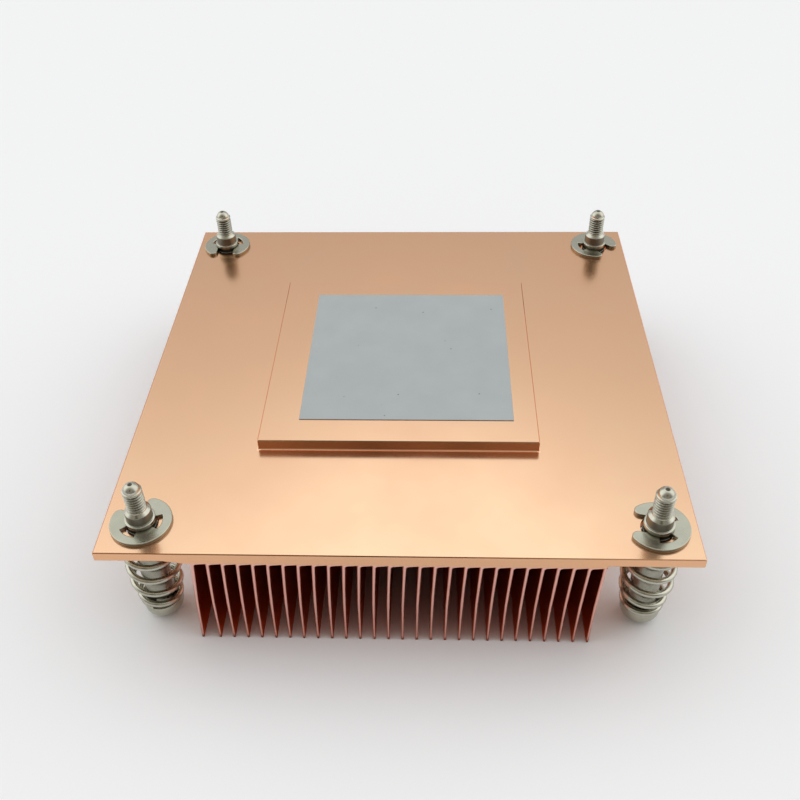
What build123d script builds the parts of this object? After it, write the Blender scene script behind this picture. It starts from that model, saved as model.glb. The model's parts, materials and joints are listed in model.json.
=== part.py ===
# Passive heatsink for a server processor: a copper plate with a milled contact pedestal on
# one side and thin fins skived out of the other, held by four spring-loaded screws.
# Millimetres. The fin tips stand on Z = 0, the contact side faces +Z, and the Z axis runs
# through the middle of the plate. -Y is the front, -X is the left.

import math
import os

from build123d import *

# Plate
PLATE_WIDTH = 90.0  # along X
PLATE_DEPTH = 90.0  # along Y
FINNED_THICKNESS = 2.3  # between the fin roots and the contact side
MARGIN_THICKNESS = 1.65  # beside the fins, where the screws pass
EDGE_BREAK = 0.12  # small chamfer on the plate's and the pedestal's upper edges

# Fins: each is a sliver cut up from the plate and bent upright, so its root is rounded on the
# side it was bent from and sharp on the other, and it leans a little.
FIN_PITCH = 2.266
FIN_MARGIN = 14.1  # bare strip on each side of the fins, for the screws and their springs
FIN_HEIGHT = 18.6
FIN_ROOT_THICKNESS = 0.48
FIN_TIP_THICKNESS = 0.38
FIN_LEAN = 0.65  # how far a tip lies to the left of its root
FIN_BOW = 0.12  # how far the middle of a fin bulges from the straight line
FIRST_FIN_EXTRA_LEAN = 0.55  # the outermost fin on the left is bent further out
FIN_ROOT_RADIUS = 0.5
FLOOR_STEP = 0.15  # the floor between two fins rises by this much towards the next root
FIN_FIELD_OFFSET = 0.1  # middle of the row of roots, to the right of the plate's middle
ENTRY_RAMP_LENGTH = 4.2  # slope that the blade left before the first fin

# Pedestal, milled in one piece with the plate
PEDESTAL_WIDTH = 46.0
PEDESTAL_DEPTH = 45.5
PEDESTAL_HEIGHT = 2.0
PEDESTAL_OFFSET_X = -0.4  # from the middle of the plate
PEDESTAL_OFFSET_Y = -0.1
PEDESTAL_ROOT_RADIUS = 0.3

# Thermal pad, laid on the pedestal by hand
PAD_WIDTH = 35.8
PAD_DEPTH = 35.9
PAD_THICKNESS = 0.15
PAD_OFFSET_X = 0.8  # from the middle of the plate
PAD_OFFSET_Y = 0.2

# Screws, 78 mm apart both ways on this plate
SCREW_EDGE_DISTANCE = 6.0  # from the plate's edges to a screw's axis
HOLE_DIAMETER = 5.2
SHANK_DIAMETER = 4.65
NECK_DIAMETER = 4.0
THREAD_DIAMETER = 3.0
PILOT_DIAMETER = 2.55
GROOVE_DIAMETER = 3.6
RIM_LENGTH = 0.75  # collar of the shank that stands above the retaining ring
NECK_LENGTH = 1.6
NECK_CHAMFER = 0.4
THREAD_LENGTH = 3.9
PILOT_LENGTH = 1.2
PILOT_DOME = 0.7  # height of the rounded end
SHANK_EDGE_BREAK = 0.12
HEAD_DIAMETER = 6.4
HEAD_HEIGHT = 2.9
HEAD_RIM_HEIGHT = 1.1  # straight part of the head before it rounds off
HEAD_FACE_DIAMETER = 4.0
HEAD_CLEARANCE = 0.5  # between the head and the surface that the fins stand on
RECESS_SPAN = 3.1  # cross recess
RECESS_WIDTH = 0.9
RECESS_DEPTH = 1.6
RECESS_TAPER = 9.0  # degrees

# Retaining rings, E-shaped, one in the groove of each screw
RING_OUTER_DIAMETER = 9.5
RING_THICKNESS = 0.6
RING_BAND = 1.45  # width of the outer band where the prongs leave gaps
RING_MOUTH = 3.3
RING_LOBE_RADIUS = 0.95
RING_GAP_START = 95.0  # degrees from the mouth's middle to each gap
RING_GAP_ANGLE = 52.0
RING_BORE_CLEARANCE = 0.05
RING_SIDE_CLEARANCE = 0.05

# Springs, wound left-handed between the plate and each head
WIRE_DIAMETER = 1.0
COIL_DIAMETER = 7.6  # to the middle of the wire, at the plate
HEAD_COIL_DIAMETER = 6.1  # to the middle of the wire, at the head
ACTIVE_TURNS = 4.4
CLOSED_TURNS = 0.75  # flat at each end
TAPER_TURNS = 1.5  # turns over which the coils narrow before the last closed one
SPRING_END_CLEARANCE = 0.05
WIRE_SIDES = 6
SECTIONS_PER_TURN = 10

# At each corner, in degrees: the way that the ring's mouth faces, and where the coil starts
CORNER_ANGLES = {
    "front_left": (118.0, 295.0),
    "front_right": (168.0, 113.0),
    "back_left": (268.0, 20.0),
    "back_right": (318.0, 200.0),
}

screw_spacing_x = PLATE_WIDTH - 2 * SCREW_EDGE_DISTANCE
screw_spacing_y = PLATE_DEPTH - 2 * SCREW_EDGE_DISTANCE
fin_gaps = int((PLATE_WIDTH - 2 * FIN_MARGIN - FIN_ROOT_THICKNESS) / FIN_PITCH)
contact_z = FIN_HEIGHT + FINNED_THICKNESS
margin_floor_z = contact_z - MARGIN_THICKNESS
first_root_x = FIN_FIELD_OFFSET - FIN_PITCH * fin_gaps / 2
last_root_x = FIN_FIELD_OFFSET + FIN_PITCH * fin_gaps / 2
half_root = FIN_ROOT_THICKNESS / 2
half_tip = FIN_TIP_THICKNESS / 2
half_middle = (half_root + half_tip) / 2
inside_plate_z = (margin_floor_z + contact_z) / 2  # where the fins' sections end in the plate's

os.makedirs("parts", exist_ok=True)


def finish(part, name):
    """Label a piece and write it to its own file."""
    part.label = name
    export_step(part, f"parts/{name}.step")


# Heatsink body: the plate's section and every fin's section, drawn from the front
with BuildPart() as heatsink_body:
    with BuildSketch(Plane.XZ):
        with BuildLine():
            Polyline(
                (-PLATE_WIDTH / 2, contact_z),
                (-PLATE_WIDTH / 2, margin_floor_z),
                (first_root_x - half_root - ENTRY_RAMP_LENGTH, margin_floor_z),
                (first_root_x - half_root, FIN_HEIGHT),
                (last_root_x + half_root, FIN_HEIGHT),
                (last_root_x + half_root, margin_floor_z),
                (PLATE_WIDTH / 2, margin_floor_z),
                (PLATE_WIDTH / 2, contact_z),
                close=True,
            )
        make_face()
        for fin in range(fin_gaps + 1):
            root_x = first_root_x + fin * FIN_PITCH
            tip_x = root_x - FIN_LEAN
            floor_z = FIN_HEIGHT - FLOOR_STEP
            floor_end_z = FIN_HEIGHT
            if fin == 0:
                tip_x -= FIRST_FIN_EXTRA_LEAN
            if fin == fin_gaps:
                floor_z = floor_end_z = margin_floor_z
            middle_x = (root_x + tip_x) / 2 - FIN_BOW
            root_left = (root_x - half_root, FIN_HEIGHT)
            root_right = (root_x + half_root, floor_z - FIN_ROOT_RADIUS)
            tip_left = (tip_x - half_tip, 0)
            tip_right = (tip_x + half_tip, 0)
            floor_start = (root_x + half_root + FIN_ROOT_RADIUS, floor_z)
            floor_end_x = root_x + FIN_PITCH - half_root
            with BuildLine():
                ThreePointArc(root_left, (middle_x - half_middle, FIN_HEIGHT / 2), tip_left)
                Line(tip_left, tip_right)
                ThreePointArc(tip_right, (middle_x + half_middle, FIN_HEIGHT / 2), root_right)
                RadiusArc(root_right, floor_start, FIN_ROOT_RADIUS)
                Polyline(
                    floor_start,
                    (floor_end_x, floor_end_z),
                    (floor_end_x, inside_plate_z),
                    (root_x - half_root, inside_plate_z),
                    root_left,
                )
            make_face()
    extrude(amount=PLATE_DEPTH / 2, both=True)
    chamfer(heatsink_body.faces().sort_by(Axis.Z)[-1].edges(), length=EDGE_BREAK)
    with BuildSketch(Plane.XY.offset(contact_z)):
        with Locations((PEDESTAL_OFFSET_X, PEDESTAL_OFFSET_Y)):
            Rectangle(PEDESTAL_WIDTH, PEDESTAL_DEPTH)
    extrude(amount=PEDESTAL_HEIGHT)
    fillet(
        heatsink_body.edges(Select.LAST).group_by(Axis.Z)[0],
        radius=PEDESTAL_ROOT_RADIUS,
    )
    chamfer(heatsink_body.faces().sort_by(Axis.Z)[-1].edges(), length=EDGE_BREAK)
    with BuildSketch(Plane.XY.offset(contact_z)):
        with GridLocations(screw_spacing_x, screw_spacing_y, 2, 2):
            Circle(HOLE_DIAMETER / 2)
    extrude(amount=-MARGIN_THICKNESS, mode=Mode.SUBTRACT)
finish(heatsink_body.part, "heatsink_body")

with BuildPart() as thermal_pad:
    with BuildSketch(Plane.XY.offset(contact_z + PEDESTAL_HEIGHT)):
        with Locations((PAD_OFFSET_X, PAD_OFFSET_Y)):
            Rectangle(PAD_WIDTH, PAD_DEPTH)
    extrude(amount=PAD_THICKNESS)
finish(thermal_pad.part, "thermal_pad")

# Heights along a screw
head_seat_z = HEAD_CLEARANCE + HEAD_HEIGHT
groove_floor_z = contact_z - RING_SIDE_CLEARANCE
rim_floor_z = contact_z + RING_THICKNESS + RING_SIDE_CLEARANCE
rim_top_z = rim_floor_z + RIM_LENGTH
neck_top_z = rim_top_z + NECK_LENGTH
thread_start_z = neck_top_z + NECK_CHAMFER
thread_end_z = thread_start_z + THREAD_LENGTH
tip_z = thread_end_z + PILOT_LENGTH
pilot_dome_radius = ((PILOT_DIAMETER / 2) ** 2 + PILOT_DOME**2) / (2 * PILOT_DOME)


def make_screw(x, y):
    """Return a captive screw that stands on its head at (x, y), tip up."""
    with BuildPart() as screw:
        with BuildSketch(Plane((x, y, 0), x_dir=(1, 0, 0), z_dir=(0, -1, 0))):
            with BuildLine():
                Line((0, HEAD_CLEARANCE), (HEAD_FACE_DIAMETER / 2, HEAD_CLEARANCE))
                TangentArc(
                    (HEAD_DIAMETER / 2, head_seat_z - HEAD_RIM_HEIGHT),
                    (HEAD_FACE_DIAMETER / 2, HEAD_CLEARANCE),
                    tangent=(0, -1),
                )
                Polyline(
                    (HEAD_DIAMETER / 2, head_seat_z - HEAD_RIM_HEIGHT),
                    (HEAD_DIAMETER / 2, head_seat_z),
                    (SHANK_DIAMETER / 2, head_seat_z),
                    (SHANK_DIAMETER / 2, groove_floor_z),
                    (GROOVE_DIAMETER / 2, groove_floor_z),
                    (GROOVE_DIAMETER / 2, rim_floor_z),
                    (SHANK_DIAMETER / 2, rim_floor_z),
                    (SHANK_DIAMETER / 2, rim_top_z - SHANK_EDGE_BREAK),
                    (SHANK_DIAMETER / 2 - SHANK_EDGE_BREAK, rim_top_z),
                    (NECK_DIAMETER / 2, rim_top_z),
                    (NECK_DIAMETER / 2, neck_top_z),
                    (THREAD_DIAMETER / 2, thread_start_z),
                    (THREAD_DIAMETER / 2, thread_end_z),
                    (PILOT_DIAMETER / 2, thread_end_z),
                    (PILOT_DIAMETER / 2, tip_z - PILOT_DOME),
                )
                RadiusArc(
                    (PILOT_DIAMETER / 2, tip_z - PILOT_DOME),
                    (0, tip_z),
                    -pilot_dome_radius,
                )
                Line((0, tip_z), (0, HEAD_CLEARANCE))
            make_face()
        revolve(axis=Axis((x, y, 0), (0, 0, 1)))
        for slot_x, slot_y in ((RECESS_SPAN, RECESS_WIDTH), (RECESS_WIDTH, RECESS_SPAN)):
            with BuildSketch(Plane((x, y, HEAD_CLEARANCE))):
                Rectangle(slot_x, slot_y)
            extrude(amount=RECESS_DEPTH, taper=RECESS_TAPER, mode=Mode.SUBTRACT)
    return screw.part


def make_retaining_ring(x, y, mouth_angle):
    """Return an E-shaped ring that lies on the plate, its mouth facing mouth_angle degrees."""
    band_inner_radius = RING_OUTER_DIAMETER / 2 - RING_BAND
    bore_radius = GROOVE_DIAMETER / 2 + RING_BORE_CLEARANCE
    ring_plane = Plane((x, y, contact_z)).rotated((0, 0, mouth_angle))
    with BuildPart() as ring:
        with BuildSketch(ring_plane) as outline:
            Circle(RING_OUTER_DIAMETER / 2)
            with Locations((RING_OUTER_DIAMETER / 2, 0)):
                Rectangle(RING_OUTER_DIAMETER, RING_MOUTH, mode=Mode.SUBTRACT)
            fillet(
                outline.vertices().group_by(Axis.X)[-1],
                radius=RING_LOBE_RADIUS,
            )
            Circle(bore_radius, mode=Mode.SUBTRACT)
            for start in (RING_GAP_START, -RING_GAP_START - RING_GAP_ANGLE):
                with BuildLine():
                    gap_edge = CenterArc((0, 0), band_inner_radius, start, RING_GAP_ANGLE)
                    Polyline(gap_edge @ 1, (0, 0), gap_edge @ 0)
                make_face(mode=Mode.SUBTRACT)
        extrude(amount=RING_THICKNESS)
    return ring.part


def make_spring(x, y, start_angle):
    """Return a compression spring between the plate and a head, its coils narrowing downwards."""
    top_z = margin_floor_z - WIRE_DIAMETER / 2
    bottom_z = head_seat_z + SPRING_END_CLEARANCE + WIRE_DIAMETER / 2
    turns = ACTIVE_TURNS + 2 * CLOSED_TURNS
    taper_start = CLOSED_TURNS + ACTIVE_TURNS - TAPER_TURNS
    section_count = round(turns * SECTIONS_PER_TURN)

    def wire_middle(turn):
        """Return the middle of the wire after this many turns from the plate."""
        active = min(max(turn - CLOSED_TURNS, 0) / ACTIVE_TURNS, 1)
        narrowed = min(max(turn - taper_start, 0) / TAPER_TURNS, 1)
        radius = (COIL_DIAMETER + (HEAD_COIL_DIAMETER - COIL_DIAMETER) * narrowed) / 2
        angle = math.radians(start_angle) + 2 * math.pi * turn
        return Vector(
            x + radius * math.cos(angle),
            y + radius * math.sin(angle),
            top_z + (bottom_z - top_z) * active,
        )

    upwards = Vector(0, 0, 1)
    step = turns / section_count
    with BuildPart() as spring:
        for index in range(section_count + 1):
            turn = index * step
            along = wire_middle(turn + step / 2) - wire_middle(turn - step / 2)
            across = upwards.cross(along)
            with BuildSketch(Plane(wire_middle(turn), x_dir=across, z_dir=along)):
                RegularPolygon(WIRE_DIAMETER / 2, WIRE_SIDES, major_radius=False)
        loft(ruled=True)
    return spring.part


for corner, (mouth_angle, coil_start) in CORNER_ANGLES.items():
    screw_x = screw_spacing_x / 2 * (1 if corner.endswith("right") else -1)
    screw_y = screw_spacing_y / 2 * (1 if corner.startswith("back") else -1)
    finish(make_screw(screw_x, screw_y), f"screw_{corner}")
    finish(make_retaining_ring(screw_x, screw_y, mouth_angle), f"retaining_ring_{corner}")
    finish(make_spring(screw_x, screw_y, coil_start), f"spring_{corner}")
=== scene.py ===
"""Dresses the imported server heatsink: bare copper, a grey pad and plated captive screws.

Lengths in the classes are millimetres, as the parts are drawn, and are turned to metres where a
mesh is finished. The frame has its origin under the middle of the plate, in the plane of the fin
tips, with +Z towards the contact side and -Y towards the viewer.
"""

import json
import logging
import math
from collections.abc import Sequence
from dataclasses import dataclass, field
from enum import Enum

import bmesh
import bpy
from mathutils import Matrix, Vector


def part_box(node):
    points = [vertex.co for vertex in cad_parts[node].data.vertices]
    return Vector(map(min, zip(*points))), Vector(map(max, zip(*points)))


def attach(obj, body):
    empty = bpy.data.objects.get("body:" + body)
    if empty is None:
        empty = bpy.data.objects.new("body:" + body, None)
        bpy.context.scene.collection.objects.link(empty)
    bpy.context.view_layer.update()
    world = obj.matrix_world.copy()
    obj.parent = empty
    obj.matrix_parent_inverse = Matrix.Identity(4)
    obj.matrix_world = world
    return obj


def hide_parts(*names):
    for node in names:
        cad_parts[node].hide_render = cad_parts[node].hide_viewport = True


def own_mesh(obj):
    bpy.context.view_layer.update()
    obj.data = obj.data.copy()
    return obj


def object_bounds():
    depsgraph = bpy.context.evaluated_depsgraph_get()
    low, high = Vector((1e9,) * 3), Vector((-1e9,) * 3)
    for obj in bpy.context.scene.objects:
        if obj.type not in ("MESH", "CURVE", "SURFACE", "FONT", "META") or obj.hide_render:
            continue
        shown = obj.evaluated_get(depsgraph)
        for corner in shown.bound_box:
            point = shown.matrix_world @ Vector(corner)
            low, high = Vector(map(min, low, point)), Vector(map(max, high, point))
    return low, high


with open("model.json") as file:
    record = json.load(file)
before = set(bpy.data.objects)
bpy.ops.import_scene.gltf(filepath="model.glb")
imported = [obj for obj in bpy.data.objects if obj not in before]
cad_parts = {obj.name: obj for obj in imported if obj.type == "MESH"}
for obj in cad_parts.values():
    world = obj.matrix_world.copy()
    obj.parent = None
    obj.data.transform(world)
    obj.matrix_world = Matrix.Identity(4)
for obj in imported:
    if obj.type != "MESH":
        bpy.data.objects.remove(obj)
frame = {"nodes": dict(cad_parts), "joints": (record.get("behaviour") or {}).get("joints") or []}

LOG = logging.getLogger("heatsink")
MM = 0.001
UP = Vector((0.0, 0.0, 1.0))
CAD_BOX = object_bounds()
JOINTS = {joint["name"]: joint for joint in frame["joints"]}
HALF_WIDTH = CAD_BOX[1][0] / MM  # of the square plate
CONTACT_Z = JOINTS["front_left_turn"]["pos_m"][2] / MM  # the plate's contact side
SAME_PLACE = 0.001  # millimetres within which two places on an outline are one
WELD = 0.0005  # millimetres within which two points of a built mesh are merged
CAD_WELD = 0.002  # the same for the loose triangles of a CAD node's copy
SHARP_DEGREES = 35.0  # edges sharper than this stay sharp in the shading
BROKEN_DEGREES = 50.0  # edges sharper than this are rounded off
RELIEF_HEIGHT = 0.02  # millimetres, of every finish's fine relief


class Corner(Enum):
    """The plate's four corners, named as the CAD nodes and bodies name them."""

    FRONT_LEFT = "front_left"
    FRONT_RIGHT = "front_right"
    BACK_LEFT = "back_left"
    BACK_RIGHT = "back_right"

    @property
    def screw_foot(self) -> Vector:
        """Return where this corner's screw axis meets the fin tips' plane, in millimetres."""
        x, y, _ = JOINTS[f"{self.value}_turn"]["pos_m"]
        return Vector((x, y, 0.0)) / MM


class Mark(Enum):
    """Mesh attributes from 0 to 1 that tell a finish where its surface is different and where shade
    is painted on it.
    """

    SKIVED_AND_SHADED = "skived"  # painted shade between fins, partly on fin ends and milled walls
    SHADE_AND_REFLECTION = "residue"  # painted shade and dark reflections on steel parts


def linear(hex_code: str) -> tuple[float, float, float, float]:
    """Turn an sRGB colour into the linear colour that a node expects.

    Args:
        hex_code: The colour as "#RRGGBB".

    Returns:
        Linear red, green, blue and an alpha of one.
    """
    channels = [int(hex_code[i : i + 2], 16) / 255 for i in (1, 3, 5)]
    values = [c / 12.92 if c <= 0.04045 else ((c + 0.055) / 1.055) ** 2.4 for c in channels]
    return (values[0], values[1], values[2], 1.0)


def per_metre(size_mm: float) -> float:
    """Turn the real size of a pattern's feature into the scale of its texture.

    Args:
        size_mm: The size of one feature, in millimetres.

    Returns:
        Features in a metre, which is what a texture's Scale means on Object coordinates.
    """
    return 1.0 / (size_mm * MM)


def add_node(
    tree: bpy.types.NodeTree,
    kind: str,
    inputs: dict[object, object] | None = None,
    **settings: object,
) -> bpy.types.Node:
    """Add a node with its settings, input values and links.

    Args:
        tree: The node tree to add to.
        kind: The node's type name.
        inputs: Values or output sockets for the node's inputs, by name or index.
        **settings: Properties of the node itself.

    Returns:
        The new node.
    """
    node = tree.nodes.new(kind)
    for name, value in settings.items():
        setattr(node, name, value)
    for name, value in (inputs or {}).items():
        if isinstance(value, bpy.types.NodeSocket):
            tree.links.new(value, node.inputs[name])
        else:
            node.inputs[name].default_value = value
    return node


@dataclass(frozen=True)
class Finish:
    """What every finish has: its material slot's name, and how its node tree starts and ends."""

    name: str
    patch_span: tuple[float, float] = (0.35, 0.75)  # of a noise's values, from no patch to full
    polish_span: tuple[float, float] = (0.3, 0.7)  # of the same values, from smooth to dull

    def start(self) -> tuple[bpy.types.Material, bpy.types.NodeTree, bpy.types.NodeSocket]:
        """Make the material with an empty node tree.

        Returns:
            The material, its node tree, and the Object coordinates that patterns lie on.
        """
        material = bpy.data.materials.new(self.name)
        material.use_nodes = True
        tree = material.node_tree
        tree.nodes.clear()
        return material, tree, add_node(tree, "ShaderNodeTexCoord").outputs["Object"]

    def end(self, tree: bpy.types.NodeTree, inputs: dict[object, object]) -> None:
        """Add the surface's shader and link it to the material's output.

        Args:
            tree: The material's node tree.
            inputs: Values or output sockets for the shader's inputs.
        """
        shader = add_node(tree, "ShaderNodeBsdfPrincipled", inputs)
        add_node(tree, "ShaderNodeOutputMaterial", {"Surface": shader.outputs["BSDF"]})


@dataclass(frozen=True)
class LappedCopper(Finish):
    """Pure copper, cut into fins by skiving on one side and lapped bright on the contact side.

    Bare copper gives a warm orange mirror with soft edges, and handling leaves faint pinkish
    patches on it. Skiving leaves the fins duller. Painted shade makes them redder, most of all
    between them, and dark at their tips, and a painted brown reflection lines the plate's rim.
    """

    name: str = "skived_copper"
    clean: str = "#F1C6A2"
    tarnished: str = "#EEC09C"
    plate_side: str = "#E9B790"
    fin_end: str = "#E8B9AE"
    # painted shade on the fins' tips
    fin_tip_shade: str = "#7A5344"
    fin_wall: str = "#E4764E"  # deep, as light turns when it bounces between the fins
    # a painted dark reflection along the plate's top edge
    edge_reflection: str = "#B97B50"
    grazing_tint: str = "#E8A48C"
    patch_mm: float = 16.0
    mark_mm: float = 0.12  # wider than real lapping marks, which are too fine to show
    mark_stretch: float = 50.0  # the marks run along X
    mark_strength: float = 0.04
    roughness: float = 0.2
    roughness_spread: float = 0.04
    fin_roughness: float = 0.32
    # Where each change of the surface begins and is full, in millimetres
    side_depths: tuple[float, float] = (0.06, 0.01)  # inwards from the plate's outline
    rim_depths: tuple[float, float] = (0.16, 0.1)  # inwards from the plate's outline
    edge_depths: tuple[float, float] = (0.12, 0.06)  # down from the contact side
    fin_heights: tuple[float, float] = (19.0, 18.5)
    tip_shade_heights: tuple[float, float] = (1.0, 0.3)
    edge_reflection_fade_places: tuple[float, float] = (38.0, -5.0)  # along X: the painted reflection line fades out on the right

    def build(self) -> bpy.types.Material:
        """Make the copper's material.

        Returns:
            The material of the whole body.
        """
        material, tree, coordinates = self.start()
        place = add_node(tree, "ShaderNodeSeparateXYZ", {"Vector": coordinates}).outputs
        across, along = (
            add_node(tree, "ShaderNodeMath", {0: place[axis]}, operation="ABSOLUTE").outputs[0]
            for axis in ("X", "Y")
        )
        outwards = add_node(tree, "ShaderNodeMath", {0: across, 1: along}, operation="MAXIMUM")
        ramps = (
            ("side", outwards.outputs[0], *(HALF_WIDTH - depth for depth in self.side_depths)),
            ("rim", outwards.outputs[0], *(HALF_WIDTH - depth for depth in self.rim_depths)),
            ("upper_edge", place["Z"], *(CONTACT_Z - depth for depth in self.edge_depths)),
            ("fins", place["Z"], *self.fin_heights),
            ("tips", place["Z"], *self.tip_shade_heights),
            ("edge_reflection_fade", place["X"], *self.edge_reflection_fade_places),
        )
        masks = {
            name: add_node(
                tree,
                "ShaderNodeMapRange",
                {"Value": value, "From Min": start * MM, "From Max": end * MM},
            ).outputs["Result"]
            for name, value, start, end in ramps
        }
        # a painted dark reflection along the plate's top edge, fading out on the right
        edge_reflection_line = masks["rim"]
        for mask in (masks["upper_edge"], masks["edge_reflection_fade"]):
            edge_reflection_line = add_node(
                tree, "ShaderNodeMath", {0: edge_reflection_line, 1: mask}, operation="MULTIPLY"
            ).outputs[0]
        skived = add_node(tree, "ShaderNodeAttribute", attribute_name=Mark.SKIVED_AND_SHADED.value)
        patches = add_node(
            tree,
            "ShaderNodeTexNoise",
            {"Vector": coordinates, "Scale": per_metre(self.patch_mm), "Detail": 3.0},
        )
        tarnish = add_node(
            tree,
            "ShaderNodeMapRange",
            {
                "Value": patches.outputs["Fac"],
                "From Min": self.patch_span[0],
                "From Max": self.patch_span[1],
            },
        )
        colour = linear(self.clean)
        for mask, over in (
            (tarnish.outputs["Result"], self.tarnished),
            (masks["side"], self.plate_side),
            (masks["fins"], self.fin_end),
            # painted shade at the fins' tips
            (masks["tips"], self.fin_tip_shade),
            # the walls' deep colour, with painted shade between the fins
            (skived.outputs["Fac"], self.fin_wall),
            (edge_reflection_line, self.edge_reflection),
        ):
            colour = add_node(
                tree,
                "ShaderNodeMix",
                {0: mask, 6: colour, 7: linear(over)},
                data_type="RGBA",
            ).outputs[2]
        lapped = add_node(
            tree,
            "ShaderNodeMapRange",
            {
                "Value": patches.outputs["Fac"],
                "From Min": self.polish_span[0],
                "From Max": self.polish_span[1],
                "To Min": self.roughness - self.roughness_spread,
                "To Max": self.roughness + self.roughness_spread,
            },
        )
        roughness = add_node(
            tree,
            "ShaderNodeMix",
            {0: masks["fins"], 2: lapped.outputs["Result"], 3: self.fin_roughness},
            data_type="FLOAT",
        )
        stretched = add_node(
            tree,
            "ShaderNodeMapping",
            {"Vector": coordinates, "Scale": (1.0 / self.mark_stretch, 1.0, 1.0)},
        )
        marks = add_node(
            tree,
            "ShaderNodeTexNoise",
            {
                "Vector": stretched.outputs["Vector"],
                "Scale": per_metre(self.mark_mm),
                "Detail": 2.0,
            },
        )
        bump = add_node(
            tree,
            "ShaderNodeBump",
            {
                "Height": marks.outputs["Fac"],
                "Strength": self.mark_strength,
                "Distance": RELIEF_HEIGHT * MM,
            },
        )
        self.end(
            tree,
            {
                "Base Color": colour,
                "Metallic": 1.0,
                "Roughness": roughness.outputs[0],
                "Specular Tint": linear(self.grazing_tint),
                "Normal": bump.outputs["Normal"],
            },
        )
        return material


@dataclass(frozen=True)
class SiliconePad(Finish):
    """Silicone thermal pad, calendered: a matte grey sheet with a few dark filler specks."""

    name: str = "grey_pad"
    grey: str = "#AAB0B1"
    lighter: str = "#AEB4B5"
    speck: str = "#55585A"
    mottle_mm: float = 5.0
    mottle_span: tuple[float, float] = (0.35, 0.7)
    speck_spacing_mm: float = 3.2
    speck_radius: float = 0.055  # as a share of the spacing
    speck_core: float = 0.033  # the same, of the part that is fully dark
    speck_strength: float = 0.8
    roughness: float = 0.75
    grain_mm: float = 0.12  # coarser than the real filler's grain, which is too fine to show
    grain_strength: float = 0.25

    def build(self) -> bpy.types.Material:
        """Make the pad's material.

        Returns:
            The material of the pad.
        """
        material, tree, coordinates = self.start()
        mottle = add_node(
            tree,
            "ShaderNodeTexNoise",
            {"Vector": coordinates, "Scale": per_metre(self.mottle_mm), "Detail": 4.0},
        )
        cells = add_node(
            tree,
            "ShaderNodeTexVoronoi",
            {"Vector": coordinates, "Scale": per_metre(self.speck_spacing_mm)},
        )
        colour = linear(self.grey)
        for value, start, end, most, over in (
            (mottle.outputs["Fac"], *self.mottle_span, 1.0, self.lighter),
            (
                cells.outputs["Distance"],
                self.speck_radius,
                self.speck_core,
                self.speck_strength,
                self.speck,
            ),
        ):
            mask = add_node(
                tree,
                "ShaderNodeMapRange",
                {"Value": value, "From Min": start, "From Max": end, "To Max": most},
            )
            colour = add_node(
                tree,
                "ShaderNodeMix",
                {0: mask.outputs["Result"], 6: colour, 7: linear(over)},
                data_type="RGBA",
            ).outputs[2]
        grain = add_node(
            tree,
            "ShaderNodeTexNoise",
            {"Vector": coordinates, "Scale": per_metre(self.grain_mm), "Detail": 2.0},
        )
        bump = add_node(
            tree,
            "ShaderNodeBump",
            {
                "Height": grain.outputs["Fac"],
                "Strength": self.grain_strength,
                "Distance": RELIEF_HEIGHT * MM,
            },
        )
        self.end(
            tree,
            {
                "Base Color": colour,
                "Roughness": self.roughness,
                "Normal": bump.outputs["Normal"],
            },
        )
        return material


@dataclass(frozen=True)
class PlatedSteel(Finish):
    """Plated steel: a slightly warm grey mirror with soft edges.

    Nickel keeps the screws and springs bright, and zinc leaves the stamped rings satin. Handling
    dulls the plate in small patches, which shows as uneven roughness, and painted shade and painted
    dark reflections darken roots, grooves and stamped edges.
    """

    name: str = "screw_steel"
    bright: str = "#BDBBAC"
    dull: str = "#B3B1A2"
    # the colour of the painted shade and painted dark reflections
    residue: str = "#3B342A"
    patch_mm: float = 1.2
    roughness_low: float = 0.12
    roughness_high: float = 0.26
    shade_and_reflection_roughness: float = 0.45
    shade_and_reflection_cover: float = 0.9  # at most, where the painted shade is full
    grain_mm: float = 0.06  # coarser than the real plate's grain, which is too fine to show
    grain_strength: float = 0.05

    def build(self) -> bpy.types.Material:
        """Make the plated steel's material.

        Returns:
            The material of one kind of plated piece.
        """
        material, tree, coordinates = self.start()
        patches = add_node(
            tree,
            "ShaderNodeTexNoise",
            {"Vector": coordinates, "Scale": per_metre(self.patch_mm), "Detail": 3.0},
        )
        shade_and_reflection_marks = add_node(tree, "ShaderNodeAttribute", attribute_name=Mark.SHADE_AND_REFLECTION.value)
        roughnesses = (self.roughness_low, self.roughness_high)
        handled, polish, residue = (
            add_node(
                tree,
                "ShaderNodeMapRange",
                {"Value": value, "From Min": start, "From Max": end, "To Min": low, "To Max": high},
            ).outputs["Result"]
            for value, start, end, low, high in (
                (patches.outputs["Fac"], *self.patch_span, 0.0, 1.0),
                (patches.outputs["Fac"], *self.polish_span, *roughnesses),
                (shade_and_reflection_marks.outputs["Fac"], 0.0, 1.0, 0.0, self.shade_and_reflection_cover),
            )
        )
        colour = linear(self.bright)
        for mask, over in ((handled, self.dull), (residue, self.residue)):
            colour = add_node(
                tree,
                "ShaderNodeMix",
                {0: mask, 6: colour, 7: linear(over)},
                data_type="RGBA",
            ).outputs[2]
        roughness = add_node(
            tree,
            "ShaderNodeMix",
            {0: residue, 2: polish, 3: self.shade_and_reflection_roughness},
            data_type="FLOAT",
        )
        grain = add_node(
            tree,
            "ShaderNodeTexNoise",
            {"Vector": coordinates, "Scale": per_metre(self.grain_mm), "Detail": 1.0},
        )
        bump = add_node(
            tree,
            "ShaderNodeBump",
            {
                "Height": grain.outputs["Fac"],
                "Strength": self.grain_strength,
                "Distance": RELIEF_HEIGHT * MM,
            },
        )
        self.end(
            tree,
            {
                "Base Color": colour,
                "Metallic": 1.0,
                "Roughness": roughness.outputs[0],
                "Normal": bump.outputs["Normal"],
            },
        )
        return material


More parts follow.
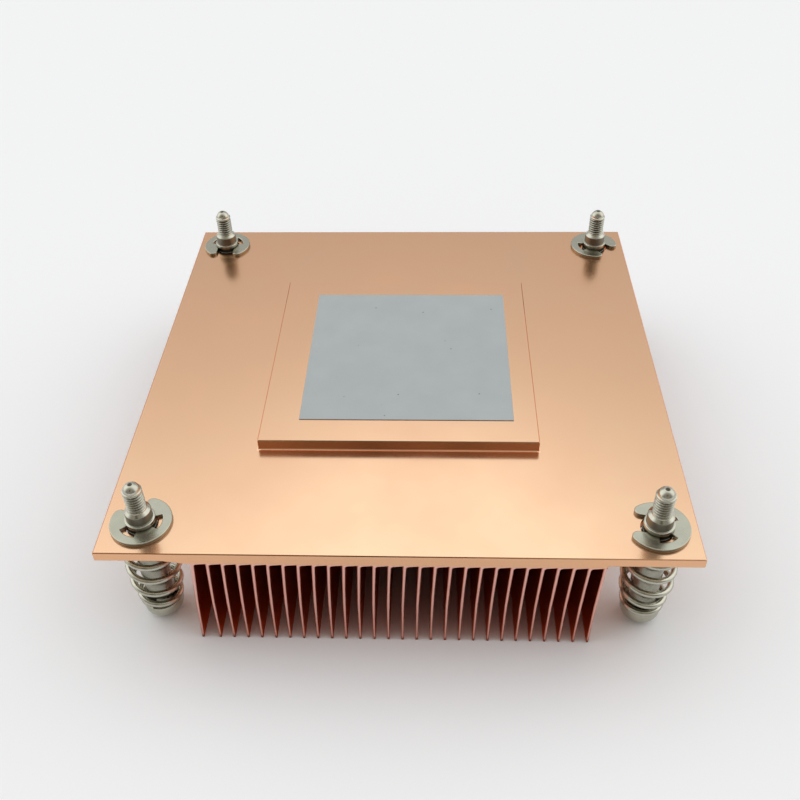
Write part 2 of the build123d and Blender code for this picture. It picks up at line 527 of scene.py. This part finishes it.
def make_object(
    name: str, shape: bmesh.types.BMesh, material: bpy.types.Material
) -> bpy.types.Object:
    """Turn a finished bmesh, drawn in millimetres in place, into an object at the origin.

    Args:
        name: The new object's name.
        shape: The bmesh, which is freed.
        material: The only material of the piece.

    Returns:
        The new object, in the scene, in metres.
    """
    bmesh.ops.scale(shape, vec=(MM, MM, MM), verts=shape.verts)
    mesh = bpy.data.meshes.new(name)
    shape.to_mesh(mesh)
    shape.free()
    mesh.materials.append(material)
    mesh.shade_smooth()
    mesh.set_sharp_from_angle(angle=math.radians(SHARP_DEGREES))
    piece = bpy.data.objects.new(name, mesh)
    bpy.context.scene.collection.objects.link(piece)
    return piece


def keep_faces_flat(piece: bpy.types.Object, larger_than: float) -> None:
    """Shade the flat faces flat, so that only the rounded edges between them look round.

    Args:
        piece: The piece with flat faces and narrow bevels.
        larger_than: The area in square millimetres from which a face counts as a flat one.
    """
    for face in piece.data.polygons:
        face.use_smooth = face.area < larger_than * MM * MM


def merged_copy(node: str) -> bmesh.types.BMesh:
    """Copy a CAD node's triangles, in millimetres, and join them to whole flat faces.

    Args:
        node: The CAD node's name.

    Returns:
        A closed bmesh with its flat faces dissolved.
    """
    shape = bmesh.new()
    shape.from_mesh(frame["nodes"][node].data)
    bmesh.ops.scale(shape, vec=(1 / MM, 1 / MM, 1 / MM), verts=shape.verts)
    bmesh.ops.remove_doubles(shape, verts=shape.verts, dist=CAD_WELD)
    bmesh.ops.dissolve_limit(
        shape, angle_limit=math.radians(1.0), verts=shape.verts, edges=shape.edges
    )
    return shape


def break_edges(
    shape: bmesh.types.BMesh,
    edges: Sequence[bmesh.types.BMEdge],
    width: float,
    segments: int,
) -> None:
    """Round off the sharp ones among some edges.

    Args:
        shape: The bmesh to change.
        edges: The edges to look at.
        width: The bevel's width in millimetres.
        segments: Steps across the bevel.
    """
    limit = math.radians(BROKEN_DEGREES)
    bmesh.ops.bevel(
        shape,
        geom=[edge for edge in edges if edge.is_manifold and edge.calc_face_angle() > limit],
        offset=width,
        offset_type="OFFSET",
        segments=segments,
        profile=0.5,
        affect="EDGES",
        clamp_overlap=False,
        material=-1,
    )


def middle(edge: bmesh.types.BMEdge) -> Vector:
    """Return the middle of an edge."""
    return (edge.verts[0].co + edge.verts[1].co) / 2


@dataclass
class HeatsinkBody:
    """The copper plate with its pedestal and fins cut by skiving, with the burrs off its edges."""

    finish: LappedCopper = field(default_factory=LappedCopper)
    edge_radius: float = 0.05
    fin_edge_radius: float = 0.13
    fin_edge_share: float = 0.45  # of the walls' painted shade on rounded edges of the fins' ends, mostly on the left
    milled_share: float = 0.3  # of the same painted shade on the pedestal's milled walls
    edge_segments: int = 2
    fin_height: float = 18.6
    fin_pitch: float = 2.266
    outer_root_x: float = 30.6  # the roots of the outermost fins
    root_reach: float = 0.3  # how far past their height the fins' edges go, at their roots
    clearance: float = 0.1  # between a height and the faces that count as past it
    lowest_floor: float = 2.0  # above it, a face that looks down is a floor between fins
    facing: float = 0.3  # a part of the unit normal, from which a face looks that way
    steep_facing: float = 0.7  # the same for the fins' right walls, without their rounded edges
    crossways: float = 0.2  # the same along Y, up to which a face is no part of a fin's end
    flat_from: float = 2.5  # square millimetres from which a face is shaded flat

    def round_edges(self, shape: bmesh.types.BMesh) -> None:
        """Round the fins' edges, and break the plate's edges.

        Args:
            shape: The body, with its flat faces whole.
        """
        fins_end_z = self.fin_height + self.root_reach
        fin_edges = [edge for edge in shape.edges if middle(edge).z < fins_end_z]
        break_edges(shape, fin_edges, self.fin_edge_radius, self.edge_segments)
        plate_edges = [edge for edge in shape.edges if middle(edge).z > fins_end_z]
        break_edges(shape, plate_edges, self.edge_radius, self.edge_segments)

    def mark_skived_and_shaded(self, shape: bmesh.types.BMesh) -> None:
        """Mark the painted shade between the fins, and in part on the fins' ends and the milled
        walls.

        Args:
            shape: The body, with its edges rounded.
        """
        layer = shape.faces.layers.float.new(Mark.SKIVED_AND_SHADED.value)
        outer_x = self.outer_root_x - self.fin_pitch / 2
        for face in shape.faces:
            place = face.calc_center_median()
            outside = abs(place.x) > outer_x and face.normal.x * place.x > 0.0
            wall = face.normal.x < -self.facing or face.normal.x > self.steep_facing
            looks_down = face.normal.z < -self.facing
            floor = looks_down and self.lowest_floor < place.z and abs(place.x) < outer_x
            among_fins = place.z < self.fin_height + self.clearance
            on_pedestal = place.z > CONTACT_Z + self.clearance
            # painted shade between the fins and on edges of their ends, and some on the pedestal's
            # walls
            if among_fins and ((wall and not outside) or floor):
                skived = abs(face.normal.y) < self.crossways
                face[layer] = 1.0 if skived else self.fin_edge_share
            elif on_pedestal and abs(face.normal.z) < self.facing:
                face[layer] = self.milled_share

    def build(self) -> bpy.types.Object:
        """Build the body as one piece that stands for its CAD node.

        Returns:
            The body's object.
        """
        shape = merged_copy("heatsink_body")
        self.round_edges(shape)
        self.mark_skived_and_shaded(shape)
        body = make_object("copper_body", shape, self.finish.build())
        keep_faces_flat(body, larger_than=self.flat_from)
        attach(body, "root")
        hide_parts("heatsink_body")
        return body


@dataclass
class ThermalPad:
    """The grey pad, a soft sheet cut with a knife, a little rounded at its rim."""

    finish: SiliconePad = field(default_factory=SiliconePad)
    rim_radius: float = 0.07
    rim_segments: int = 2
    flat_from: float = 5.0  # square millimetres from which a face is shaded flat

    def build(self) -> bpy.types.Object:
        """Build the pad as one piece that stands for its CAD node.

        Returns:
            The pad's object.
        """
        shape = merged_copy("thermal_pad")
        break_edges(shape, shape.edges, self.rim_radius, self.rim_segments)
        pad = make_object("pad_sheet", shape, self.finish.build())
        keep_faces_flat(pad, larger_than=self.flat_from)
        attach(pad, "root")
        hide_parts("thermal_pad")
        return pad


@dataclass(frozen=True)
class Turn:
    """One corner of a turned outline: its radius, its height and how far it is rounded."""

    radius: float
    height: float
    rounding: float = 0.0
    steps: int = 3


@dataclass
class CaptiveScrew:
    """A captive shoulder screw: rounded head, shank, ring groove, neck, thread and pilot."""

    finish: PlatedSteel = field(default_factory=PlatedSteel)
    head_face_z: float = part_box("screw_front_left")[0].z / MM
    tip_z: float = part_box("screw_front_left")[1].z / MM
    head_height: float = 2.9
    head_slant: float = 0.5  # of the height, where the head widens from its face
    head_radius: float = 3.2
    head_face_radius: float = 2.0
    head_rounding: float = 1.1
    face_rounding: float = 0.15
    edge_rounding: float = 0.12
    neck_rounding: float = 0.1
    groove_rounding: float = 0.06
    fine_rounding: float = 0.05
    shank_radius: float = 2.325
    groove_radius: float = 1.8
    groove_width: float = 0.7
    groove_drop: float = 0.05  # of the groove's lower wall below the contact side
    rim_length: float = 0.75
    neck_radius: float = 2.0
    neck_length: float = 1.6
    neck_chamfer: float = 0.4
    thread_radius: float = 1.5
    thread_length: float = 3.9
    thread_pitch: float = 0.5
    thread_depth: float = 0.3
    thread_flare: float = 1.15  # above 1, the thread's roots are a little flat
    pilot_chamfer: float = 0.1
    pilot_radius: float = 1.275
    dome_height: float = 0.9
    dimple_radius: float = 0.34  # of the dimple in the middle of the pilot's tip, dark with a painted reflection
    dimple_depth: float = 0.2
    dimple_lift: float = 0.0693  # what the dome needs above the tip to end at it once dimpled
    dome_steps: int = 12
    recess_span: float = 3.1
    recess_width: float = 0.9
    recess_depth: float = 1.6
    recess_narrowing: float = 0.75  # of the driver recess, from its mouth to its floor
    sides: int = 64
    rows_per_pitch: int = 12
    # painted shade in the groove and on the shank, and painted dark reflections on the neck and in
    # the dimple
    groove_shade: float = 0.85
    groove_reach: float = 0.1  # of the groove's painted shade, up the rim above the groove
    neck_dark_reflection: float = 0.75
    dimple_dark_reflection: float = 1.0
    shank_shade: float = 0.35
    skin: float = 0.01  # how far off a surface a point still counts as on it

    def __post_init__(self) -> None:
        """Work out the heights along the screw from its lengths."""
        self.head_seat_z = self.head_face_z + self.head_height
        self.groove_floor_z = CONTACT_Z - self.groove_drop
        self.rim_floor_z = self.groove_floor_z + self.groove_width
        self.rim_top_z = self.rim_floor_z + self.rim_length
        self.neck_top_z = self.rim_top_z + self.neck_length
        self.thread_start_z = self.neck_top_z + self.neck_chamfer
        self.thread_end_z = self.thread_start_z + self.thread_length

    def profile(self) -> list[Turn]:
        """List the corners of the turned outline, each with its rounding.

        Returns:
            The corners from the middle of the head's face to the foot of the pilot's dome.
        """
        return [
            Turn(0.0, self.head_face_z),
            Turn(self.head_face_radius, self.head_face_z, self.face_rounding),
            Turn(self.head_radius, self.head_face_z + self.head_slant, self.head_rounding, 6),
            Turn(self.head_radius, self.head_seat_z, self.edge_rounding),
            Turn(self.shank_radius, self.head_seat_z),
            Turn(self.shank_radius, self.groove_floor_z, self.fine_rounding),
            Turn(self.groove_radius, self.groove_floor_z),
            Turn(self.groove_radius, self.rim_floor_z),
            Turn(self.shank_radius, self.rim_floor_z, self.groove_rounding),
            Turn(self.shank_radius, self.rim_top_z, self.edge_rounding),
            Turn(self.neck_radius, self.rim_top_z, self.fine_rounding),
            Turn(self.neck_radius, self.neck_top_z, self.neck_rounding),
            Turn(self.thread_radius, self.thread_start_z, self.fine_rounding),
            Turn(self.thread_radius, self.thread_end_z, self.fine_rounding),
            Turn(self.pilot_radius, self.thread_end_z + self.pilot_chamfer, self.fine_rounding),
            Turn(self.pilot_radius, self.tip_z - self.dome_height),
        ]

    def build_blank(self) -> bmesh.types.BMesh:
        """Turn the screw at the origin and cut its thread.

        Returns:
            The closed screw, still without its driver recess.
        """
        blank = bmesh.new()
        corners = self.profile()
        verts = [blank.verts.new((c.radius, 0.0, c.height)) for c in corners]
        for first, second in zip(verts, verts[1:]):
            blank.edges.new((first, second))
        self.round_tip(blank, verts[-1])
        for corner in corners:
            if corner.rounding > 0.0:
                place = Vector((corner.radius, 0.0, corner.height))
                bmesh.ops.bevel(
                    blank,
                    geom=[v for v in blank.verts if (v.co - place).length < SAME_PLACE],
                    offset=corner.rounding,
                    offset_type="OFFSET",
                    segments=corner.steps,
                    profile=0.5,
                    affect="VERTICES",
                    clamp_overlap=True,
                    material=-1,
                )
        self.add_thread_rows(blank)
        bmesh.ops.spin(
            blank,
            geom=blank.verts[:] + blank.edges[:],
            cent=(0.0, 0.0, 0.0),
            axis=UP,
            angle=math.tau,
            steps=self.sides,
            use_merge=True,
            use_duplicate=False,
        )
        bmesh.ops.remove_doubles(blank, verts=blank.verts, dist=WELD)
        bmesh.ops.recalc_face_normals(blank, faces=blank.faces)
        self.shape_surface(blank)
        return blank

    def round_tip(self, blank: bmesh.types.BMesh, rim: bmesh.types.BMVert) -> None:
        """Close the outline with the pilot's dome, an arc from its rim to the axis.

        Args:
            blank: The bmesh that holds the outline.
            rim: The outline's last vertex, where the dome starts.
        """
        height = self.dome_height + self.dimple_lift
        radius = (self.pilot_radius**2 + height**2) / (2 * height)
        bmesh.ops.spin(
            blank,
            geom=[rim],
            cent=(0.0, 0.0, self.tip_z + self.dimple_lift - radius),
            axis=(0.0, 1.0, 0.0),
            angle=-math.asin(self.pilot_radius / radius),
            steps=self.dome_steps,
            use_merge=False,
            use_duplicate=False,
        )

    def add_thread_rows(self, blank: bmesh.types.BMesh) -> None:
        """Divide the threaded stretch of the outline into rows fine enough for the thread.

        Args:
            blank: The bmesh that holds the outline as a chain of edges.
        """
        stretch = [
            edge
            for edge in blank.edges
            if all(abs(v.co.x - self.thread_radius) < SAME_PLACE for v in edge.verts)
            and edge.calc_length() > self.thread_length / 2
        ]
        rows = round(self.thread_length / self.thread_pitch * self.rows_per_pitch)
        bmesh.ops.subdivide_edges(blank, edges=stretch, cuts=rows)

    def in_dimple(self, radius: float, height: float) -> bool:
        """Return whether a place on the screw lies in the dimple of the pilot's tip."""
        return height > self.tip_z - self.dome_height and radius < self.dimple_radius

    def shade_and_reflection_at(self, radius: float, height: float) -> float:
        """Say how much shade and dark reflection is painted on a place of the screw, apart from its
        thread.

        Args:
            radius: The place's distance from the screw's axis.
            height: The place's height.

        Returns:
            The painted shade and reflection, from 0 to 1.
        """
        if self.head_seat_z - self.skin < height < self.groove_floor_z:
            return self.shank_shade if radius < self.shank_radius + self.skin else 0.0
        if self.groove_floor_z <= height < self.rim_floor_z + self.groove_reach:
            return self.groove_shade
        if self.rim_top_z < height < self.neck_top_z and radius < self.neck_radius + self.skin:
            return self.neck_dark_reflection
        return self.dimple_dark_reflection if self.in_dimple(radius, height) else 0.0

    def groove_at(self, place: Vector) -> float:
        """Work out how deep in the thread a place is, along a helix that fades out at its ends.

        Args:
            place: The place on the unthreaded screw.

        Returns:
            The share of the thread's depth, from 0 on a crest to 1 in a root.
        """
        inside = min(place.z - self.thread_start_z, self.thread_end_z - place.z)
        if inside <= 0.0:
            return 0.0
        turn = (place.z / self.thread_pitch - math.atan2(place.y, place.x) / math.tau) % 1.0
        fade = min(inside / self.thread_pitch, 1.0)
        return min(self.thread_flare * (1.0 - abs(2.0 * turn - 1.0)), 1.0) * fade

    def shape_surface(self, blank: bmesh.types.BMesh) -> None:
        """Press the dimple, cut the thread and mark where shade and reflections are painted.

        Args:
            blank: The turned screw.
        """
        layer = blank.verts.layers.float.new(Mark.SHADE_AND_REFLECTION.value)
        for vert in blank.verts:
            radius = math.hypot(vert.co.x, vert.co.y)
            groove = self.groove_at(vert.co)
            if groove > 0.0:
                # painted shade in the thread's roots
                vert[layer] = groove
                scale = 1.0 - self.thread_depth * groove / radius
                vert.co.x *= scale
                vert.co.y *= scale
                continue
            vert[layer] = self.shade_and_reflection_at(radius, vert.co.z)
            if self.in_dimple(radius, vert.co.z):
                vert.co.z -= self.dimple_depth * (1.0 - (radius / self.dimple_radius) ** 2)

    def recess_cutter(self, material: bpy.types.Material) -> bpy.types.Object:
        """Build the cross that cuts the driver recess.

        Args:
            material: The screw's material, which the cut faces take.

        Returns:
            The cross, at the origin.
        """
        cross = bmesh.new()
        for span, width in (
            (self.recess_span, self.recess_width),
            (self.recess_width, self.recess_span),
        ):
            block = bmesh.ops.create_cube(cross, size=1.0)["verts"]
            bmesh.ops.scale(cross, vec=(span, width, 2.0 * self.recess_depth), verts=block)
            floor = [v for v in block if v.co.z > 0.0]
            narrowing = (self.recess_narrowing, self.recess_narrowing, 1.0)
            bmesh.ops.scale(cross, vec=narrowing, verts=floor)
            bmesh.ops.translate(cross, vec=(0.0, 0.0, self.head_face_z), verts=block)
        bmesh.ops.recalc_face_normals(cross, faces=cross.faces)
        return make_object("recess_cutter", cross, material)

    def cut_recess(self, screw: bpy.types.Object, material: bpy.types.Material) -> None:
        """Cut the cross recess out of a screw that stands at the origin.

        Args:
            screw: The screw's object, whose mesh is replaced by the cut one.
            material: The screw's material.
        """
        cutter = self.recess_cutter(material)
        modifier = screw.modifiers.new("recess", "BOOLEAN")
        modifier.object = cutter
        modifier.operation = "DIFFERENCE"
        modifier.solver = "EXACT"
        modifier.use_self = True
        depsgraph = bpy.context.evaluated_depsgraph_get()
        cut_mesh = bpy.data.meshes.new_from_object(screw.evaluated_get(depsgraph))
        screw.modifiers.clear()
        screw.data = cut_mesh
        bpy.data.objects.remove(cutter)

    def build(self) -> list[bpy.types.Object]:
        """Build the four screws, each in its place and riding on its own body.

        Returns:
            The screws' objects.
        """
        material = self.finish.build()
        master = make_object("screw_master", self.build_blank(), material)
        self.cut_recess(master, material)
        screws = []
        for corner in Corner:
            shape = bmesh.new()
            shape.from_mesh(master.data)
            bmesh.ops.scale(shape, vec=(1 / MM, 1 / MM, 1 / MM), verts=shape.verts)
            # The cut leaves pairs of points that nearly meet in the recess's corners
            bmesh.ops.remove_doubles(shape, verts=shape.verts, dist=WELD)
            bmesh.ops.recalc_face_normals(shape, faces=shape.faces)
            bmesh.ops.translate(shape, vec=corner.screw_foot, verts=shape.verts)
            screw = make_object(f"captive_screw_{corner.value}", shape, material)
            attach(screw, f"{corner.value}_screw")
            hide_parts(f"screw_{corner.value}")
            screws.append(screw)
        bpy.data.objects.remove(master)
        return screws


@dataclass
class RetainingRing:
    """The stamped E-ring on each screw, with the rolled-over edge that stamping leaves."""

    finish: PlatedSteel = field(
        default_factory=lambda: PlatedSteel(
            name="ring_steel",
            bright="#B8B6A6",
            dull="#AEAC9C",
            patch_mm=3.0,
            roughness_low=0.22,
            roughness_high=0.3,
            grain_strength=0.03,
        )
    )
    edge_radius: float = 0.12
    edge_segments: int = 3
    # painted shade on the ring's walls
    wall_shade: float = 0.5
    level_facing: float = 0.4  # a part of the unit normal along Z, up to which a face is a wall
    flat_from: float = 2.0  # square millimetres from which a face is shaded flat

    def build(self) -> list[bpy.types.Object]:
        """Build the four rings, each riding on its own body.

        Returns:
            The rings' objects.
        """
        material = self.finish.build()
        rings = []
        for corner in Corner:
            node = f"retaining_ring_{corner.value}"
            shape = merged_copy(node)
            break_edges(shape, shape.edges, self.edge_radius, self.edge_segments)
            # painted shade on the walls
            layer = shape.faces.layers.float.new(Mark.SHADE_AND_REFLECTION.value)
            for face in shape.faces:
                if abs(face.normal.z) < self.level_facing:
                    face[layer] = self.wall_shade
            ring = make_object(f"e_ring_{corner.value}", shape, material)
            keep_faces_flat(ring, larger_than=self.flat_from)
            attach(ring, f"{corner.value}_ring")
            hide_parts(node)
            rings.append(ring)
        return rings


@dataclass
class CoilSpring:
    """A left-handed compression spring of round wire, its coils narrowing towards the head."""

    finish: PlatedSteel = field(
        default_factory=lambda: PlatedSteel(
            name="spring_wire", roughness_low=0.1, roughness_high=0.2
        )
    )
    plate_z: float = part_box("spring_front_left")[1].z / MM
    head_z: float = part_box("spring_front_left")[0].z / MM
    travel: float = JOINTS["front_left_travel"]["range_m"][1] / MM
    wire_diameter: float = 1.0
    plate_coil_diameter: float = 7.6
    head_coil_diameter: float = 6.1
    active_turns: float = 4.4
    closed_turns: float = 0.75
    taper_turns: float = 1.5
    easing_turns: float = 0.12
    steps_per_turn: int = 36
    wire_sides: int = 16
    start_degrees: dict[Corner, float] = field(
        default_factory=lambda: {
            Corner.FRONT_LEFT: 295.0,
            Corner.FRONT_RIGHT: 113.0,
            Corner.BACK_LEFT: 20.0,
            Corner.BACK_RIGHT: 200.0,
        }
    )

    def eased(self, turn: float) -> float:
        """Work out how far down the active coils a turn is, with soft ends.

        Args:
            turn: Turns from the end of the closed coil at the plate.

        Returns:
            The share of the way from the plate's closed coil to the head's, from 0 to 1.
        """

        def ramp(x: float) -> float:
            """Return x above zero, bent softly around zero."""
            return 0.5 * (x + math.sqrt(x * x + self.easing_turns**2))

        down = ramp(turn) - ramp(turn - self.active_turns)
        return min(max(down / self.active_turns, 0.0), 1.0)

    def wire_middle(self, turn: float, start: float) -> Vector:
        """Work out the middle of the wire, with the spring's axis at the origin.

        Args:
            turn: Turns from the wire's end at the plate.
            start: The angle of that end in degrees.

        Returns:
            The place in millimetres.
        """
        top = self.plate_z - self.wire_diameter / 2
        bottom = self.head_z + self.wire_diameter / 2
        taper_start = self.closed_turns + self.active_turns - self.taper_turns
        narrowed = min(max((turn - taper_start) / self.taper_turns, 0.0), 1.0)
        diameter = self.plate_coil_diameter + narrowed * (
            self.head_coil_diameter - self.plate_coil_diameter
        )
        angle = math.radians(start) + math.tau * turn
        height = top + (bottom - top) * self.eased(turn - self.closed_turns)
        return Vector((diameter / 2 * math.cos(angle), diameter / 2 * math.sin(angle), height))

    def wire_frame(self, turn: float, start: float) -> Matrix:
        """Work out the place and direction of the wire.

        Args:
            turn: Turns from the wire's end at the plate.
            start: The angle of that end in degrees.

        Returns:
            A matrix whose Z axis runs along the wire.
        """
        step = 0.5 / self.steps_per_turn
        along = self.wire_middle(turn + step, start) - self.wire_middle(turn - step, start)
        along.normalize()
        across = UP.cross(along).normalized()
        rotation = Matrix((across, along.cross(across), along)).transposed()
        return Matrix.Translation(self.wire_middle(turn, start)) @ rotation.to_4x4()

    def build_wire(self, start: float) -> bmesh.types.BMesh:
        """Extrude the round wire, step by step along its helix.

        Args:
            start: The angle of the wire's end at the plate, in degrees.

        Returns:
            The closed wire, with the spring's axis at the origin.
        """
        wire = bmesh.new()
        turns = self.active_turns + 2 * self.closed_turns
        steps = round(turns * self.steps_per_turn)
        place = self.wire_frame(0.0, start)
        ring = bmesh.ops.create_circle(
            wire,
            cap_ends=True,
            radius=self.wire_diameter / 2,
            segments=self.wire_sides,
            matrix=place,
        )["verts"]
        rim = [e for e in wire.edges if e.verts[0] in ring]
        for index in range(1, steps + 1):
            moved = self.wire_frame(turns * index / steps, start)
            grown = bmesh.ops.extrude_edge_only(wire, edges=rim)["geom"]
            ring = [g for g in grown if isinstance(g, bmesh.types.BMVert)]
            rim = [
                g
                for g in grown
                if isinstance(g, bmesh.types.BMEdge) and all(v in ring for v in g.verts)
            ]
            bmesh.ops.transform(wire, matrix=moved @ place.inverted(), verts=ring)
            place = moved
        bmesh.ops.contextual_create(wire, geom=rim)
        bmesh.ops.recalc_face_normals(wire, faces=wire.faces)
        return wire

    def build(self) -> list[bpy.types.Object]:
        """Build the four springs, each between the plate and its own screw's head.

        Returns:
            The springs' objects.
        """
        material = self.finish.build()
        springs = []
        for corner in Corner:
            wire = self.build_wire(self.start_degrees[corner])
            bmesh.ops.translate(wire, vec=corner.screw_foot, verts=wire.verts)
            spring = make_object(f"coil_spring_{corner.value}", wire, material)
            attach(spring, "root")
            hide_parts(f"spring_{corner.value}")
            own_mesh(spring)
            springs.append(spring)
        return springs


@dataclass(frozen=True)
class Patch:
    """A round patch of the dome of light: its direction, angles from its middle and colour."""

    direction: tuple[float, float, float]
    inner_degrees: float
    outer_degrees: float
    colour: str


@dataclass
class Studio:
    """A pale table under a soft, even studio light, and the camera."""

    floor_colour: str = "#F7F8FA"
    floor_roughness: float = 0.9
    floor_specular: float = 0.1
    floor_half_width: float = 4000.0
    camera_place: tuple[float, float, float] = (5.44, -131.87, 128.29)
    camera_degrees: tuple[float, float, float] = (48.54, 1.15, 1.77)
    focal_length: float = 42.02
    sensor_width: float = 36.0
    nearest_seen: float = 10.0
    world_strength: float = 1.5
    # Colours of the dome by height: 0.5 is the horizon and 1 is overhead
    world_stops: tuple[tuple[float, str], ...] = (
        (0.50, "#C2C2C2"),
        (0.56, "#A0A0A0"),
        (0.65, "#9E9E9D"),
        (0.757, "#ACAFB3"),
        (0.82, "#BCBAB8"),
        (0.855, "#CFD4D3"),
        (0.885, "#E3ECED"),
        (0.915, "#EAEAE9"),
    )
    patches: tuple[Patch, ...] = (
        Patch((-0.9, 0.2, 0.5), 16.0, 48.0, "#FFFFFF"),  # light on the left
        Patch((0.9, 0.2, 0.5), 16.0, 48.0, "#FFFFFF"),  # light on the right
        Patch((0.0, -0.94, 0.34), 10.0, 80.0, "#787470"),  # dim room in front
        Patch((-0.02, 0.57, 0.82), 2.0, 16.0, "#F8FBFD"),  # light behind the pad
        Patch((-0.05, -0.773, 0.633), 12.0, 42.0, "#908A7F"),  # paler wall in front
        Patch((-0.05, -0.773, 0.633), 1.0, 13.0, "#120E0C"),  # dark opening in that wall
    )

    def build_floor(self) -> None:
        """Build the table top, in the plane of the fin tips that stand on it."""
        sheet = bmesh.new()
        bmesh.ops.create_grid(sheet, x_segments=1, y_segments=1, size=self.floor_half_width)
        board = Finish("table_top")
        material, tree, _ = board.start()
        board.end(
            tree,
            {
                "Base Color": linear(self.floor_colour),
                "Roughness": self.floor_roughness,
                "Specular IOR Level": self.floor_specular,
            },
        )
        make_object("table_top", sheet, material)

    def build_world(self) -> None:
        """Light the scene with a pale dome: bright overhead and at both sides, dim in front."""
        world = bpy.data.worlds.new("studio")
        world.use_nodes = True
        tree = world.node_tree
        tree.nodes.clear()
        direction = add_node(tree, "ShaderNodeTexCoord").outputs["Generated"]
        height = add_node(tree, "ShaderNodeSeparateXYZ", {"Vector": direction})
        position = add_node(
            tree,
            "ShaderNodeMapRange",
            {"Value": height.outputs["Z"], "From Min": -1.0, "From Max": 1.0},
        )
        gradient = add_node(tree, "ShaderNodeValToRGB", {"Fac": position.outputs["Result"]})
        elements = gradient.color_ramp.elements
        while len(elements) < len(self.world_stops):
            elements.new(0.5)
        for element, (place, hex_code) in zip(elements, self.world_stops):
            element.position = place
            element.color = linear(hex_code)
        dome = gradient.outputs["Color"]
        for patch in self.patches:
            nearness = add_node(
                tree,
                "ShaderNodeVectorMath",
                {0: direction, 1: Vector(patch.direction).normalized()},
                operation="DOT_PRODUCT",
            )
            mask = add_node(
                tree,
                "ShaderNodeMapRange",
                {
                    "Value": nearness.outputs["Value"],
                    "From Min": math.cos(math.radians(patch.outer_degrees)),
                    "From Max": math.cos(math.radians(patch.inner_degrees)),
                },
                interpolation_type="SMOOTHSTEP",
            )
            dome = add_node(
                tree,
                "ShaderNodeMix",
                {0: mask.outputs["Result"], 6: dome, 7: linear(patch.colour)},
                data_type="RGBA",
            ).outputs[2]
        background = add_node(
            tree, "ShaderNodeBackground", {"Color": dome, "Strength": self.world_strength}
        )
        add_node(tree, "ShaderNodeOutputWorld", {"Surface": background.outputs["Background"]})
        bpy.context.scene.world = world

    def build_camera(self) -> None:
        """Set up the scene's camera at the photograph's viewing angle."""
        data = bpy.data.cameras.new("camera")
        data.lens = self.focal_length
        data.sensor_width = self.sensor_width
        data.sensor_fit = "HORIZONTAL"
        data.clip_start = self.nearest_seen * MM
        data.dof.use_dof = False
        camera = bpy.data.objects.new("camera", data)
        camera.location = Vector(self.camera_place) * MM
        camera.rotation_euler = [math.radians(angle) for angle in self.camera_degrees]
        bpy.context.scene.collection.objects.link(camera)
        bpy.context.scene.camera = camera

    def build(self) -> None:
        """Set up the camera, the floor, the light and the plain view transform."""
        self.build_camera()
        self.build_floor()
        self.build_world()
        bpy.context.scene.view_settings.view_transform = "Standard"


def report(pieces: Sequence[bpy.types.Object]) -> None:
    """Log each piece with its number of faces.

    Args:
        pieces: The pieces that were just built.
    """
    for piece in pieces:
        LOG.info("%s: %d faces", piece.name, len(piece.data.polygons))


def main() -> None:
    """Build the studio and every piece of the heatsink, in order."""
    logging.basicConfig(level=logging.INFO, format="%(name)s %(message)s")
    Studio().build()
    report([HeatsinkBody().build(), ThermalPad().build()])
    for assembly in (CaptiveScrew(), RetainingRing(), CoilSpring()):
        report(assembly.build())


if __name__ == "__main__":
    main()
